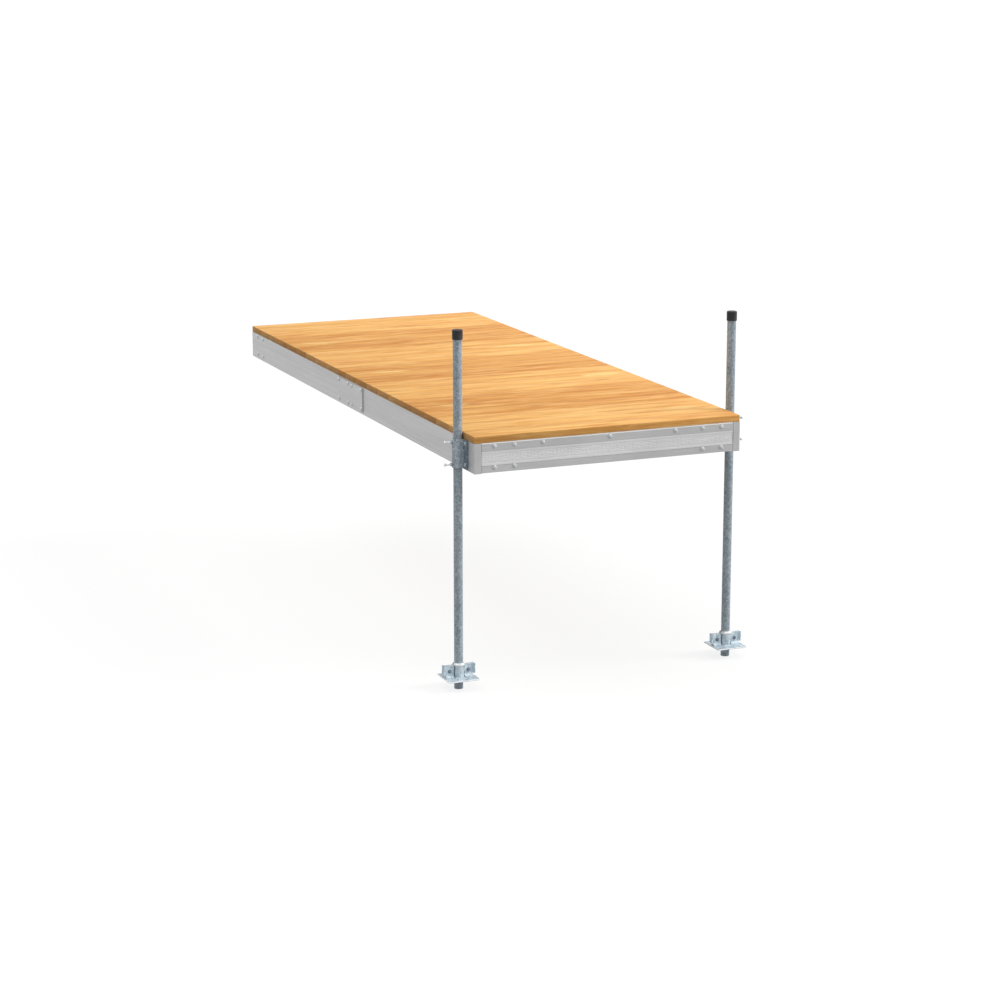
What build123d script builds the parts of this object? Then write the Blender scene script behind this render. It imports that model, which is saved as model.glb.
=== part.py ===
"""One bay of a jetty: a wooden deck on a bolted aluminium frame, with two pipe legs under its lake end.

Millimetres, +Z up. The shore end faces +Y and the lake end faces -Y. The origin is on the outer face of
the shore end rail, in the middle of its lower band, where this bay is bolted to what comes before it.
"""

import os
from math import cos, radians, sin

from build123d import *

os.makedirs("parts", exist_ok=True)

# Deck
deck_length = 3048.0
deck_width = 1219.2
deck_thickness = 28.6
panel_count = 7
boards_per_panel = 3
board_gap = 3.2
board_edge_bevel = 3.0

# Channels of the frame
rail_height = 127.0
rail_depth = 31.75
rail_wall = 3.2
rail_edge_radius = 1.6
end_cap_thickness = 3.2
end_cap_edge_radius = 2.4

# End rails, with a bevel under the deck and a shallow recess along the face for a ribbed strip
end_rail_height = 125.4
end_rail_bevel = 4.5
end_rail_gap = 1.4
band_height = 29.6
recess_height = 61.6
recess_depth = 3.0
strip_clearance = 0.4
strip_bead_height = 9.6
strip_groove_height = 3.2
strip_bead_thickness = 2.6
strip_groove_thickness = 0.8
strip_field_thickness = 2.0

# Bolts of the frame: square holes for bolts with a square neck, but round ones in the end face at the shore
bolt_neck = 10.4
bolt_hole_radius = 5.2
bolt_pitch = 88.9
first_bolt = 88.9
bolt_rise = 22.5
stringer_spacing = 304.8

# Corner angles inside the frame
angle_leg = 205.0
angle_thickness = 4.0
angle_height = 110.0
angle_bend_radius = 6.0

# Splices halfway along the side rails
splice_length = 342.9
splice_height = 114.3
splice_thickness = 4.8
splice_corner_radius = 3.0
splice_inner_pitch = 50.8
splice_end_margin = 19.05

# Cross beam under the splice, and the stringers that it carries
beam_width = 50.8
beam_height = 101.6
beam_wall = 3.2
beam_plate_width = 101.6
beam_plate_thickness = 4.8
stringer_width = 25.4
stringer_height = 50.8
stringer_wall = 3.2
stringer_plate = 3.2
cope_clearance = 0.8
beam_bolt_drop = 36.0

# Legs
pipe_radius = 19.05
pipe_wall = 3.05
pipe_length = 1524.0
leg_below_deck = 1102.0
cap_radius = 22.0
cap_height = 40.0
cap_top = 3.5
cap_clearance = 0.25

# Leg holders, bent from plate
holder_width = 127.0
holder_height = 122.0
holder_thickness = 4.76
holder_corner_radius = 12.0
holder_clearance = 0.9
nut_across_flats = 15.0
nut_height = 8.0
screw_pitch = 94.5
screw_radius = 3.97
screw_hole_clearance = 0.2
screw_tip_gap = 0.3
screw_reach = 60.0
screw_head_across_flats = 12.7
screw_head_height = 5.5

# Feet, each of two pressed halves that clamp the pipe
foot_width = 142.0
foot_depth = 146.0
foot_plate = 5.0
foot_corner_radius = 10.0
foot_wall = 3.0
foot_height = 59.0
foot_parting = 3.0
foot_clamp_gap = 0.25
foot_ear_reach = 62.0
foot_lip_length = 12.0
foot_lip_turn = 45.0
foot_lip_relief = 10.0
foot_bolt_spread = 84.0
foot_bolt_rise = 31.0
foot_bolt_neck = 9.2
pipe_below_foot = 46.3

# How far a cut runs past the face that it leaves
overrun = 1.0

# Places worked out from the sizes above
half_width = deck_width / 2
end_rail_bottom = -band_height / 2
end_rail_middle = end_rail_bottom + end_rail_height / 2
recess_middle = end_rail_bottom + band_height + recess_height / 2
rail_top = end_rail_bottom + end_rail_height
rail_bottom = rail_top - rail_height
rail_middle = rail_top - rail_height / 2
deck_top = rail_top + deck_thickness
mid_length = deck_length / 2
end_rail_wall = rail_wall + recess_depth
end_rail_length = deck_width - 2 * (rail_depth + end_rail_gap)
bolt_rows = (rail_bottom + bolt_rise, rail_bottom + bolt_rise + bolt_pitch)
bolt_middle = rail_bottom + bolt_rise + bolt_pitch / 2
leg_station = deck_length - first_bolt - bolt_pitch / 2
leg_offset = half_width + pipe_radius + holder_clearance
pipe_bottom = deck_top - leg_below_deck
pipe_top = pipe_bottom + pipe_length
foot_bottom = pipe_bottom + pipe_below_foot
sides = {"left": -1, "right": 1}
ends = {"near": (deck_length, -1), "far": (0, 1)}


def save(solid, label):
    """Labels a finished piece and writes it to its own file."""
    solid.label = label
    export_step(solid, f"parts/{label}.step")


def grid(columns, rows):
    """Every pairing of a column with a row."""
    return [(column, row) for column in columns for row in rows]


def bolt_holes(places, mode=Mode.ADD):
    """Square holes in the sketch that is open."""
    with Locations(*places):
        Rectangle(bolt_neck, bolt_neck, mode=mode)


def round_holes(places):
    """Round holes in the sketch that is open."""
    with Locations(*places):
        Circle(bolt_hole_radius)


# Deck: boards lie across the frame, three to a panel
board_count = panel_count * boards_per_panel
board_width = (deck_length - (board_count - 1) * board_gap) / board_count
board_pitch = board_width + board_gap


def deck_panel(number):
    """Boards of one panel, counted from the lake end."""
    first_station = deck_length - board_width / 2 - number * boards_per_panel * board_pitch
    stations = [first_station - board * board_pitch for board in range(boards_per_panel)]
    with BuildPart() as panel:
        with BuildSketch(Plane.XY.offset(rail_top)):
            with Locations(*[(0, -station) for station in stations]):
                Rectangle(deck_width, board_width)
        extrude(amount=deck_thickness)
        levels = panel.edges().group_by(Axis.Z)
        chamfer(levels[0] + levels[-1], length=board_edge_bevel)
    save(panel.part, f"deck_panel_{number + 1}")


# Side rails: channels that open inwards, in two lengths that meet behind the splice plates
def side_rail(label, side, start, finish, bolt_stations):
    """One length of channel between two stations, which are counted from the shore end."""
    outer = side * half_width
    tip = side * (half_width - rail_depth)
    with BuildPart() as rail:
        with BuildSketch(Plane.XZ.offset(start)) as profile:
            with Locations(((outer + tip) / 2, rail_middle)):
                Rectangle(rail_depth, rail_height)
            fillet(profile.vertices().sort_by(Axis.X, reverse=side > 0)[:2], radius=rail_edge_radius)
            with Locations((tip + side * (rail_depth - rail_wall) / 2, rail_middle)):
                Rectangle(rail_depth - rail_wall, rail_height - 2 * rail_wall, mode=Mode.SUBTRACT)
        extrude(amount=finish - start)
        with BuildSketch(Plane.YZ.offset(outer)):
            bolt_holes(grid([-station for station in bolt_stations], bolt_rows))
        extrude(amount=rail_wall + overrun, both=True, mode=Mode.SUBTRACT)
    save(rail.part, label)


def end_cap(label, side, station, outward):
    """Flat plate that closes the end of a side rail, flush with the end rail beside it."""
    middle = side * (half_width - rail_depth / 2)
    with BuildPart() as cap:
        with BuildSketch(Plane.XZ.offset(station + outward * end_cap_thickness)):
            with Locations((middle, rail_middle)):
                Rectangle(rail_depth, rail_height)
        extrude(amount=-outward * end_cap_thickness)
        corner = cap.edges().filter_by(Axis.Z).sort_by(Axis.X, reverse=side > 0)[:2]
        fillet(corner.sort_by(Axis.Y, reverse=outward > 0)[0], radius=end_cap_edge_radius)
    save(cap.part, label)


# End rails: deeper channels between the side rails, each with a ribbed strip let into its face
corner_bolts = (half_width - first_bolt, half_width - first_bolt - bolt_pitch)
end_bolts = grid(corner_bolts, bolt_rows) + grid([-column for column in corner_bolts], bolt_rows)
stringer_places = (-stringer_spacing, 0, stringer_spacing)
stringer_bolts = grid(stringer_places, bolt_rows[1:])


def end_rail(label, station, outward):
    """Channel with its open side to the deck's middle."""
    face = -station
    inner_face = face - outward * end_rail_wall
    tip = face - outward * rail_depth
    with BuildPart() as rail:
        with BuildSketch(Plane.YZ.offset(-end_rail_length / 2)) as profile:
            with Locations(((face + tip) / 2, end_rail_middle)):
                Rectangle(rail_depth, end_rail_height)
            chamfer(profile.vertices().sort_by_distance((face, rail_top))[0], length=end_rail_bevel)
            fillet(profile.vertices().sort_by_distance((face, end_rail_bottom))[0], radius=rail_edge_radius)
            with Locations(((inner_face + tip) / 2, end_rail_middle)):
                Rectangle(rail_depth - end_rail_wall, end_rail_height - 2 * rail_wall, mode=Mode.SUBTRACT)
            with Locations((face - outward * recess_depth / 2, recess_middle)):
                Rectangle(recess_depth, recess_height, mode=Mode.SUBTRACT)
        extrude(amount=end_rail_length)
        with BuildSketch(Plane.XZ.offset(station)):
            bolt_holes(stringer_bolts)
            if outward > 0:
                round_holes(end_bolts)
            else:
                bolt_holes(end_bolts)
        extrude(amount=end_rail_wall + overrun, both=True, mode=Mode.SUBTRACT)
    save(rail.part, label)


def end_strip(label, station, outward):
    """Pressed strip in the recess: a bead along each edge, a groove inside it and a raised field between."""
    floor = -station - outward * recess_depth
    strip_height = recess_height - 2 * strip_clearance
    field_height = strip_height - 2 * (strip_bead_height + strip_groove_height)
    bead_middle = (strip_height - strip_bead_height) / 2
    with BuildPart() as strip:
        with BuildSketch(Plane.YZ.offset(-end_rail_length / 2)):
            with Locations((floor + outward * strip_groove_thickness / 2, recess_middle)):
                Rectangle(strip_groove_thickness, strip_height)
            with Locations((floor + outward * strip_field_thickness / 2, recess_middle)):
                Rectangle(strip_field_thickness, field_height)
            for upward in (-1, 1):
                bead_height = recess_middle + upward * bead_middle
                with Locations((floor + outward * strip_bead_thickness / 2, bead_height)):
                    Rectangle(strip_bead_thickness, strip_bead_height)
        extrude(amount=end_rail_length)
    save(strip.part, label)


# Corner angles: bent plates inside the corners, behind the square bolt patterns
def corner_angle(label, side, station, outward):
    """Bent plate against the inner faces of a side rail and an end rail."""
    side_face = side * (half_width - rail_wall)
    end_face = -station - outward * end_rail_wall
    with BuildPart() as angle:
        with BuildSketch(Plane.XY.offset(bolt_middle - angle_height / 2)) as profile:
            with Locations((side_face - side * angle_leg / 2, end_face - outward * angle_thickness / 2)):
                Rectangle(angle_leg, angle_thickness)
            with Locations((side_face - side * angle_thickness / 2, end_face - outward * angle_leg / 2)):
                Rectangle(angle_thickness, angle_leg)
            bend = (side_face - side * angle_thickness, end_face - outward * angle_thickness)
            fillet(profile.vertices().sort_by_distance(bend)[0], radius=angle_bend_radius)
            heel = (side_face, end_face)
            fillet(profile.vertices().sort_by_distance(heel)[0], radius=angle_bend_radius)
        extrude(amount=angle_height)
        with BuildSketch(Plane.XZ.offset(-end_face)):
            end_places = grid([side * column for column in corner_bolts], bolt_rows)
            if outward > 0:
                round_holes(end_places)
            else:
                bolt_holes(end_places)
        extrude(amount=angle_thickness + overrun, both=True, mode=Mode.SUBTRACT)
        with BuildSketch(Plane.YZ.offset(side_face)):
            columns = [-station - outward * (first_bolt + step * bolt_pitch) for step in range(2)]
            bolt_holes(grid(columns, bolt_rows))
        extrude(amount=angle_thickness + overrun, both=True, mode=Mode.SUBTRACT)
    save(angle.part, label)


# Splice plates and the cross beam behind them
splice_outer_pitch = splice_length - 2 * splice_end_margin
splice_steps = [sign * pitch / 2 for pitch in (splice_inner_pitch, splice_outer_pitch) for sign in (-1, 1)]
splice_stations = [mid_length + step for step in splice_steps]


def splice_plate(label, side):
    """Plate on the outer face of a side rail, over the joint between its two lengths."""
    with BuildPart() as plate:
        with BuildSketch(Plane.YZ.offset(side * half_width)):
            with Locations((-mid_length, bolt_middle)):
                RectangleRounded(splice_length, splice_height, splice_corner_radius)
            bolt_holes(grid([-station for station in splice_stations], bolt_rows), Mode.SUBTRACT)
        extrude(amount=side * splice_thickness)
    save(plate.part, label)


def cross_beam():
    """Box beam between the side rails, with an end plate inside each rail."""
    plate_face = half_width - rail_wall
    tube_length = 2 * (plate_face - beam_plate_thickness)
    with BuildPart() as beam:
        with BuildSketch(Plane.YZ.offset(-tube_length / 2)):
            with Locations((-mid_length, rail_middle)):
                Rectangle(beam_width, beam_height)
                Rectangle(beam_width - 2 * beam_wall, beam_height - 2 * beam_wall, mode=Mode.SUBTRACT)
        extrude(amount=tube_length)
        for side in sides.values():
            with BuildSketch(Plane.YZ.offset(side * plate_face)):
                with Locations((-mid_length, bolt_middle)):
                    Rectangle(beam_plate_width, angle_height)
                with Locations((-mid_length, rail_middle)):
                    Rectangle(beam_width - 2 * beam_wall, beam_height - 2 * beam_wall, mode=Mode.SUBTRACT)
                inner_columns = [-mid_length + sign * splice_inner_pitch / 2 for sign in (-1, 1)]
                bolt_holes(grid(inner_columns, bolt_rows), Mode.SUBTRACT)
            extrude(amount=-side * beam_plate_thickness)
        with BuildSketch(Plane.XZ.offset(mid_length)):
            bolt_holes(grid(stringer_places, [rail_top - beam_bolt_drop]))
        extrude(amount=beam_width / 2 + overrun, both=True, mode=Mode.SUBTRACT)
    save(beam.part, "cross_beam")


# Stringers: channels under the boards, notched where they pass below the end rail's flange
def stringer(label, place, station, outward):
    """One stringer from an end rail to the cross beam."""
    end_face = -station - outward * end_rail_wall
    beam_face = -mid_length + outward * beam_width / 2
    length = abs(end_face - beam_face)
    middle = (end_face + beam_face) / 2
    height_middle = rail_top - stringer_height / 2
    notch_length = rail_depth - end_rail_wall + cope_clearance
    notch_height = rail_wall + cope_clearance
    hollow_length = length - 2 * stringer_plate
    hollow_height = stringer_height - 2 * stringer_wall
    with BuildPart() as beam:
        with Locations((place, middle, height_middle)):
            Box(stringer_width, length, stringer_height)
        with Locations((place + stringer_wall / 2, middle, height_middle)):
            Box(stringer_width - stringer_wall, hollow_length, hollow_height, mode=Mode.SUBTRACT)
        with Locations((place, end_face - outward * notch_length / 2, rail_top - notch_height / 2)):
            Box(stringer_width, notch_length, notch_height, mode=Mode.SUBTRACT)
        with BuildSketch(Plane.XZ.offset(-end_face)):
            bolt_holes([(place, bolt_rows[1])])
        extrude(amount=stringer_plate + overrun, both=True, mode=Mode.SUBTRACT)
        with BuildSketch(Plane.XZ.offset(-beam_face)):
            bolt_holes([(place, rail_top - beam_bolt_drop)])
        extrude(amount=stringer_plate + overrun, both=True, mode=Mode.SUBTRACT)
    save(beam.part, label)


# Leg holders: a plate bent round the leg, with a bolted wing on each side of it and two welded nuts
leg_place = -leg_station
sleeve_inner = pipe_radius + holder_clearance
sleeve_outer = sleeve_inner + holder_thickness
holder_bottom = bolt_middle - holder_height / 2
screw_rows = (bolt_middle - screw_pitch / 2, bolt_middle + screw_pitch / 2)


def leg_slot(side, radius, back):
    """A half round about the leg in the open sketch, with straight sides that run in to a back line."""
    axis_x = side * leg_offset
    with Locations((axis_x, leg_place)):
        Circle(radius)
    with Locations(((axis_x + side * back) / 2, leg_place)):
        Rectangle(leg_offset - back, 2 * radius)
    with Locations((side * (back - radius / 2), leg_place)):
        Rectangle(radius, 2 * radius, mode=Mode.SUBTRACT)


def leg_holder(label, side):
    """Wings, half round and nuts in one piece."""
    axis_x = side * leg_offset
    with BuildPart() as holder:
        with BuildSketch(Plane.YZ.offset(side * half_width)):
            with Locations((leg_place, bolt_middle)):
                RectangleRounded(holder_width, holder_height, holder_corner_radius)
            columns = [leg_place + sign * bolt_pitch / 2 for sign in (-1, 1)]
            bolt_holes(grid(columns, bolt_rows), Mode.SUBTRACT)
        extrude(amount=side * holder_thickness)
        with BuildSketch(Plane.XY.offset(holder_bottom)):
            leg_slot(side, sleeve_outer, half_width)
        extrude(amount=holder_height)
        with BuildSketch(Plane.YZ.offset(axis_x)):
            with Locations(*grid([leg_place], screw_rows)):
                RegularPolygon(nut_across_flats / 2, 6, major_radius=False)
        extrude(amount=side * (sleeve_outer + nut_height))
        with BuildSketch(Plane.XY.offset(holder_bottom - overrun)):
            leg_slot(side, sleeve_inner, half_width - overrun)
        extrude(amount=holder_height + 2 * overrun, mode=Mode.SUBTRACT)
        with BuildSketch(Plane.YZ.offset(axis_x)):
            with Locations(*grid([leg_place], screw_rows)):
                Circle(screw_radius + screw_hole_clearance)
        extrude(amount=side * (sleeve_outer + nut_height + overrun), mode=Mode.SUBTRACT)
    save(holder.part, label)


def set_screws(label, side):
    """Two hexagon screws that press on the leg from the outer side."""
    tip = side * (leg_offset + pipe_radius + screw_tip_gap)
    end = side * (leg_offset + screw_reach)
    shank_length = screw_reach - pipe_radius - screw_tip_gap
    with BuildPart() as screws:
        with BuildSketch(Plane.YZ.offset(tip)):
            with Locations(*grid([leg_place], screw_rows)):
                Circle(screw_radius)
        extrude(amount=side * shank_length)
        with BuildSketch(Plane.YZ.offset(end)):
            with Locations(*grid([leg_place], screw_rows)):
                RegularPolygon(screw_head_across_flats / 2, 6, major_radius=False)
        extrude(amount=-side * screw_head_height)
    save(screws.part, label)


# Legs: a pipe with a cap on top and a clamped foot near the bottom
def leg_pipe(label, side):
    """Plain pipe."""
    with BuildPart() as pipe:
        with BuildSketch(Plane.XY.offset(pipe_bottom)):
            with Locations((side * leg_offset, leg_place)):
                Circle(pipe_radius)
                Circle(pipe_radius - pipe_wall, mode=Mode.SUBTRACT)
        extrude(amount=pipe_length)
    save(pipe.part, label)


def leg_cap(label, side):
    """Soft cap pushed over the top of the pipe."""
    skirt_bottom = pipe_top + cap_top - cap_height
    with BuildPart() as cap:
        with BuildSketch(Plane.XY.offset(skirt_bottom)):
            with Locations((side * leg_offset, leg_place)):
                Circle(cap_radius)
        extrude(amount=cap_height)
        with BuildSketch(Plane.XY.offset(skirt_bottom)):
            with Locations((side * leg_offset, leg_place)):
                Circle(pipe_radius + cap_clearance)
        extrude(amount=cap_height - cap_top, mode=Mode.SUBTRACT)
    save(cap.part, label)


def foot_half(label, side, facing):
    """Half of a foot: half of the base plate, and a wall with a half round for the pipe and turned ends."""
    axis_x = side * leg_offset
    parting = leg_place + facing * foot_parting / 2
    plate_depth = (foot_depth - foot_parting) / 2
    plate_middle = parting + facing * plate_depth / 2
    wall_middle = parting + facing * foot_wall / 2
    clamp_radius = pipe_radius + foot_clamp_gap
    with BuildPart() as half:
        with BuildSketch(Plane.XY.offset(foot_bottom)) as base:
            with Locations((axis_x, plate_middle)):
                Rectangle(foot_width, plate_depth)
            corners = base.vertices().sort_by(Axis.Y, reverse=facing > 0)[:2]
            fillet(corners, radius=foot_corner_radius)
            with Locations((axis_x, leg_place)):
                Circle(clamp_radius, mode=Mode.SUBTRACT)
        extrude(amount=foot_plate)
        with BuildSketch(Plane.XY.offset(foot_bottom)):
            with Locations((axis_x, wall_middle)):
                Rectangle(2 * foot_ear_reach, foot_wall)
            with Locations((axis_x, leg_place)):
                Circle(clamp_radius + foot_wall)
                Circle(clamp_radius, mode=Mode.SUBTRACT)
            with Locations((axis_x, parting - facing * foot_depth / 2)):
                Rectangle(foot_width, foot_depth, mode=Mode.SUBTRACT)
        extrude(amount=foot_height)
        with BuildSketch(Plane.XY.offset(foot_bottom + foot_plate + foot_lip_relief)):
            for end in (-1, 1):
                lip_x = axis_x + end * (foot_ear_reach + foot_lip_length / 2 * cos(radians(foot_lip_turn)))
                lip_y = wall_middle + facing * foot_lip_length / 2 * sin(radians(foot_lip_turn))
                with Locations((lip_x, lip_y)):
                    Rectangle(foot_lip_length, foot_wall, rotation=end * facing * foot_lip_turn)
        extrude(amount=foot_height - foot_plate - foot_lip_relief)
        with BuildSketch(Plane.XZ.offset(-parting)):
            with Locations((axis_x, foot_bottom + foot_bolt_rise)):
                with GridLocations(foot_bolt_spread, 0, 2, 1):
                    Rectangle(foot_bolt_neck, foot_bolt_neck)
        extrude(amount=foot_wall + overrun, both=True, mode=Mode.SUBTRACT)
    save(half.part, label)


# Everything, side by side and end by end
for number in range(panel_count):
    deck_panel(number)

far_bolts = [first_bolt, first_bolt + bolt_pitch]
far_bolts += [station for station in splice_stations if station < mid_length]
near_bolts = [deck_length - station for station in far_bolts]

for side_name, side in sides.items():
    side_rail(f"{side_name}_side_rail_far", side, end_cap_thickness, mid_length, far_bolts)
    side_rail(f"{side_name}_side_rail_near", side, mid_length, deck_length - end_cap_thickness, near_bolts)
    splice_plate(f"{side_name}_splice_plate", side)
    leg_holder(f"{side_name}_leg_holder", side)
    set_screws(f"{side_name}_set_screws", side)
    leg_pipe(f"{side_name}_leg_pipe", side)
    leg_cap(f"{side_name}_leg_cap", side)
    foot_half(f"{side_name}_foot_near_half", side, -1)
    foot_half(f"{side_name}_foot_far_half", side, 1)

for end_name, (station, outward) in ends.items():
    end_rail(f"{end_name}_end_rail", station, outward)
    end_strip(f"{end_name}_end_strip", station, outward)
    for side_name, side in sides.items():
        end_cap(f"{end_name}_{side_name}_end_cap", side, station, outward)
        corner_angle(f"{end_name}_{side_name}_corner_angle", side, station, outward)
    for place_name, place in zip(("left", "middle", "right"), stringer_places):
        stringer(f"{place_name}_stringer_{end_name}", place, station, outward)

cross_beam()
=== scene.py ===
"""Looks of the jetty bay: cedar boards, satin aluminium, galvanised legs, and the bolts that hold it together."""

import math
import random

import bmesh
import bpy
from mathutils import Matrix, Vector


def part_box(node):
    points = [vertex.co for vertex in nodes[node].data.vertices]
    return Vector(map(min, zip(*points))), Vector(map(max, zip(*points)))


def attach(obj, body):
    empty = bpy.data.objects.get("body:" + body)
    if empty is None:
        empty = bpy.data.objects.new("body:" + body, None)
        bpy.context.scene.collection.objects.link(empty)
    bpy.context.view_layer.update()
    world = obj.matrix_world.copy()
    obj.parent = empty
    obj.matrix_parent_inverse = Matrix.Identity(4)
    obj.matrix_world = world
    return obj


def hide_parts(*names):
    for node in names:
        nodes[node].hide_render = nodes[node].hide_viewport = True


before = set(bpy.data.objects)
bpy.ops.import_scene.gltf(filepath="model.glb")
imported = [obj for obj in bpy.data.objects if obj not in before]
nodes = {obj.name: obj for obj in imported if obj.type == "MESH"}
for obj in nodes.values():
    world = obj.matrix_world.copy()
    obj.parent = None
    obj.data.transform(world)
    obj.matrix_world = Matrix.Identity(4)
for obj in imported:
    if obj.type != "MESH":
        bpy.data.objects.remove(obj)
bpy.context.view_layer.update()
grain_seed = 7
chance = random.Random(grain_seed)

# Sizes shared with the part, in metres
half_width = 0.6096
deck_length = 3.048
panel_count = 7
boards_per_panel = 3
board_gap = 0.0032
first_bolt = 0.0889
bolt_pitch = 0.0889
bolt_rise = 0.0225
stringer_spacing = 0.3048
stringer_plate = 0.0032
beam_width = 0.0508
beam_bolt_drop = 0.036
splice_inner = 0.0254
splice_outer = 0.1524
side_wall = 0.0032
end_wall = 0.0062
angle_thickness = 0.004
splice_thickness = 0.0048
holder_thickness = 0.00476
holder_corner = 0.012
pipe_radius = 0.01905
sleeve_gap = 0.0009
foot_wall = 0.003
foot_plate = 0.005
foot_plate_width = 0.142
foot_corner = 0.01
foot_parting = 0.003
foot_clamp_gap = 0.00025
foot_ear_reach = 0.062
foot_lip_length = 0.012
foot_lip_relief = 0.01
foot_bolt_spread = 0.084
foot_bolt_rise = 0.031
mid_length = deck_length / 2
rail_bottom, rail_top = (corner.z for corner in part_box("left_side_rail_far"))
bolt_rows = (rail_bottom + bolt_rise, rail_bottom + bolt_rise + bolt_pitch)
leg_low, leg_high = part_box("right_leg_pipe")
leg_offset = (leg_low.x + leg_high.x) / 2
leg_y = (leg_low.y + leg_high.y) / 2
sides = {"left": -1, "right": 1}
ends = {"near": (-deck_length, -1), "far": (0.0, 1)}


# Materials

def linear(red, green, blue):
    """A colour written as screen values from 0 to 255, by the sRGB formula."""
    def channel(value):
        value /= 255
        return value / 12.92 if value <= 0.04045 else ((value + 0.055) / 1.055) ** 2.4
    return (channel(red), channel(green), channel(blue), 1.0)


class Surface:
    """A material that is put together node by node."""

    # Sockets of the mix node that work on colours
    mix_factor, mix_first, mix_second, mix_result = 0, 6, 7, 2

    def __init__(self, name, roughness, metallic=0.0, **sockets):
        self.material = bpy.data.materials.new(name)
        self.material.use_nodes = True
        self.tree = self.material.node_tree
        self.shader = self.tree.nodes["Principled BSDF"]
        self.shader.inputs["Roughness"].default_value = roughness
        self.shader.inputs["Metallic"].default_value = metallic
        for socket, value in sockets.items():
            self.shader.inputs[socket.replace("_", " ")].default_value = value

    def node(self, kind, links=None, values=None, **settings):
        """A node with some sockets linked, some set, and its own settings."""
        made = self.tree.nodes.new(kind)
        for key, value in settings.items():
            setattr(made, key, value)
        for socket, value in (values or {}).items():
            made.inputs[socket].default_value = value
        for socket, source in (links or {}).items():
            self.tree.links.new(source, made.inputs[socket])
        return made

    def attribute(self, name, output="Fac"):
        """A value that the piece carries."""
        return self.node("ShaderNodeAttribute", attribute_name=name).outputs[output]

    def place(self, scale, moved_by=None):
        """Places on the piece, in metres times scale, less a place that the piece carries if one is named."""
        source = self.node("ShaderNodeTexCoord").outputs["Object"]
        if moved_by:
            links = {0: source, 1: self.attribute(moved_by, "Vector")}
            source = self.node("ShaderNodeVectorMath", links, operation="SUBTRACT").outputs[0]
        return self.node("ShaderNodeMapping", {"Vector": source}, {"Scale": scale}).outputs[0]

    def noise(self, place, detail=3.0, roughness=0.55, distortion=0.0):
        """Cloudy noise; the scale is in the place."""
        values = {"Scale": 1.0, "Detail": detail, "Roughness": roughness, "Distortion": distortion}
        return self.node("ShaderNodeTexNoise", {"Vector": place}, values).outputs["Fac"]

    def cells(self, place, output):
        """Cells with a colour each, or the distance to the middle of the nearest one; the scale is in the place."""
        values = {"Scale": 1.0, "Randomness": 1.0}
        return self.node("ShaderNodeTexVoronoi", {"Vector": place}, values).outputs[output]

    def rings(self, place, scale, distortion, detail_scale):
        """Growth rings round an axis along X."""
        values = {"Scale": scale, "Distortion": distortion, "Detail": ring_detail, "Detail Scale": detail_scale}
        return self.node("ShaderNodeTexWave", {"Vector": place}, values, wave_type="RINGS",
                         rings_direction="X").outputs["Fac"]

    def ramp(self, source, stops):
        """Colours along a value, as pairs of place and colour."""
        made = self.node("ShaderNodeValToRGB", {"Fac": source})
        elements = made.color_ramp.elements
        while len(elements) < len(stops):
            elements.new(noise_middle)
        for element, (position, colour) in zip(elements, stops):
            element.position = position
            element.color = colour
        return made.outputs["Color"]

    def span(self, source, low, high, from_low=0.3, from_high=0.7):
        """A value mapped to low and high from the range that it has."""
        values = {"From Min": from_low, "From Max": from_high, "To Min": low, "To Max": high}
        return self.node("ShaderNodeMapRange", {"Value": source}, values).outputs["Result"]

    def fill(self, made, pairs):
        """Links or sets sockets, whichever each value asks for."""
        for socket, value in pairs:
            if isinstance(value, bpy.types.NodeSocket):
                self.tree.links.new(value, made.inputs[socket])
            else:
                made.inputs[socket].default_value = value

    def mix(self, factor, first, second):
        """Two colours mixed."""
        made = self.node("ShaderNodeMix", data_type="RGBA")
        self.fill(made, ((self.mix_factor, factor), (self.mix_first, first), (self.mix_second, second)))
        return made.outputs[self.mix_result]

    def overlay(self, colour, other, source, share, start, full):
        """Another colour laid over a colour, by a share that is reached as a value goes from start to full."""
        return self.mix(self.span(source, 0.0, share, start, full), colour, other)

    def combine(self, first, second, operation="ADD"):
        """Two numbers added, or put together by another operation."""
        made = self.node("ShaderNodeMath", operation=operation)
        self.fill(made, ((0, first), (1, second)))
        return made.outputs[0]

    def times(self, value, factor):
        """A number times a factor."""
        return self.combine(value, factor, "MULTIPLY")

    def finish(self, colour, roughness, height, depth, strength):
        """Links the results to the shader."""
        bump = self.node("ShaderNodeBump", {"Height": height}, {"Strength": strength, "Distance": depth})
        links = (("Base Color", colour), ("Roughness", roughness), ("Normal", bump.outputs["Normal"]))
        for socket, source in links:
            self.tree.links.new(source, self.shader.inputs[socket])
        return self.material


# Noise lies about its middle, and growth rings have a little detail
noise_middle = 0.5
ring_detail = 2.0

# Scales of the patterns along X, Y and Z, in repeats a metre
streak_scale = (1.9, 17.0, 17.0)
grain_scale = (3.6, 40.0, 40.0)
pore_scale = (6.0, 210.0, 210.0)
ring_stretch = (0.12, 1.0, 1.0)
knot_scale = (2.3, 7.0, 7.0)
patch_scale = (9.0, 34.0, 1.0)
patch_wander = 4.0
end_ring_stretch = (0.2, 1.0, 1.0)
saw_scale = (20.0, 60.0, 520.0)
end_cloud_scale = (6.0, 9.0, 14.0)
drawing_along, drawing_across = 1.6, 170.0
scratch_along, scratch_across = 9.0, 260.0
metal_cloud_scale = (3.5, 3.5, 9.0)
crystal_stretch = 0.7
zinc_cloud_scale = (30.0, 30.0, 12.0)
speck_scale = (420.0, 420.0, 420.0)
handling_scale = (160.0, 160.0, 160.0)
skin_scale = (900.0, 900.0, 900.0)
scuff_scale = (60.0, 60.0, 25.0)

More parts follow.
